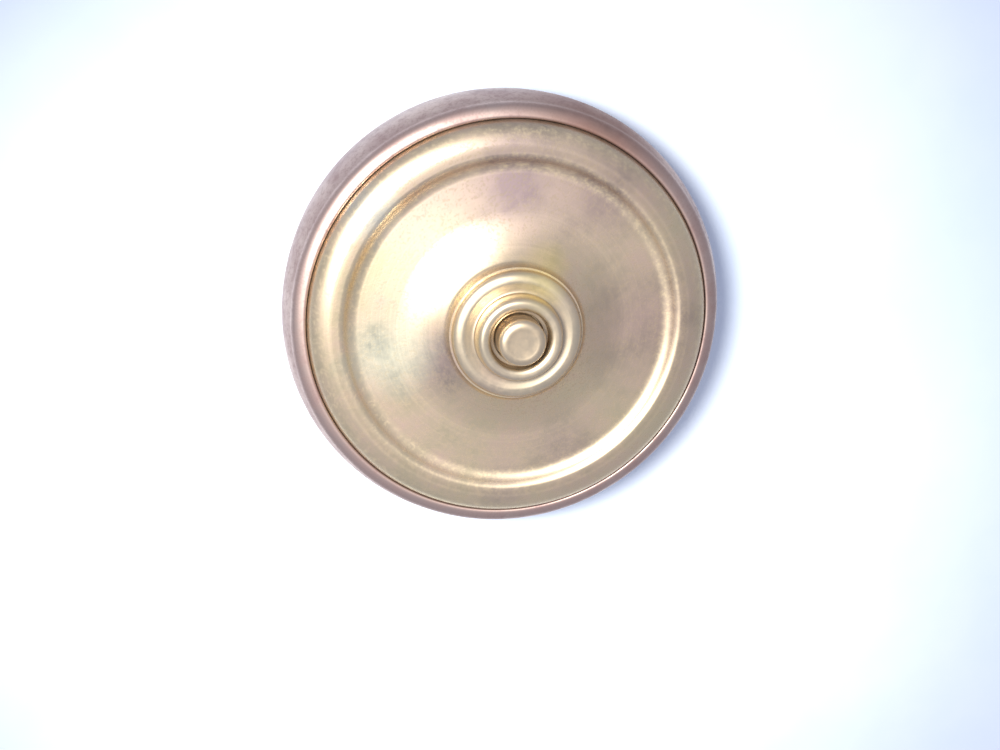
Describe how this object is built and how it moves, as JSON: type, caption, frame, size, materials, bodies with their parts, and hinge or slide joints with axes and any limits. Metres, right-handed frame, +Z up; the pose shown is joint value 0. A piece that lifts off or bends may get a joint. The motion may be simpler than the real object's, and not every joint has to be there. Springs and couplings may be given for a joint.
{
  "type": "deck fill cap",
  "caption": "Round dished brass filler cap with a flared skirt, beaded rim, stepped centre boss and push-button vent valve.",
  "frame": {"origin": "centre of the circle that the skirt's foot stands on", "axes": "+Z up along the cap's own axis, from the foot to the button; +X towards the swivel eye"},
  "size_m": [0.076, 0.076, 0.031],
  "materials": {
    "skirt_brass": "dark reddish-brown patina, satin",
    "plate_brass": "mottled brown patina worn to gold, satin",
    "boss_brass": "turned, light patina in the grooves",
    "button_brass": "handled, worn bright",
    "inner_brass": "machined, dull",
    "screw_steel": "plain stainless steel",
    "spring_steel": "drawn spring wire",
    "gasket_rubber": "matt black nitrile rubber",
    "red_fibre": "vulcanised fibre"
  },
  "bodies": {
    "cap_body": {"skirt_ring": "skirt_brass", "top_plate": "plate_brass", "threaded_collar": "inner_brass", "neck_gasket": "gasket_rubber", "clamp_screw_1": "screw_steel", "clamp_screw_2": "screw_steel", "clamp_screw_3": "screw_steel", "clamp_screw_4": "screw_steel", "clamp_screw_5": "screw_steel", "clamp_screw_6": "screw_steel", "boss_collar": "boss_brass", "boss_washer": "red_fibre", "lanyard_strap": "inner_brass", "valve_body": "inner_brass", "spring_seat": "screw_steel", "return_spring": "spring_steel", "swivel_washer": "screw_steel"},
    "vent_plunger": {"vent_button": "button_brass", "valve_stem": "inner_brass", "valve_seal": "gasket_rubber", "poppet_disc": "inner_brass", "lock_washer": "spring_steel", "stem_nut": "inner_brass"},
    "lanyard_swivel": {"swivel_eye": "inner_brass"}
  },
  "joints": [
    {"name": "button_press", "type": "slide", "parent": "cap_body", "child": "vent_plunger", "axis": [0, 0, -1], "range_m": [0, 0.0016], "stiffness_N_per_m": 500, "springref_m": -0.003, "deforming": ["return_spring"]},
    {"name": "swivel_spin", "type": "hinge", "parent": "cap_body", "child": "lanyard_swivel", "pos_m": [0.0159, 0, 0.0139], "axis": [0, 0, 1], "continuous": true}
  ]
}
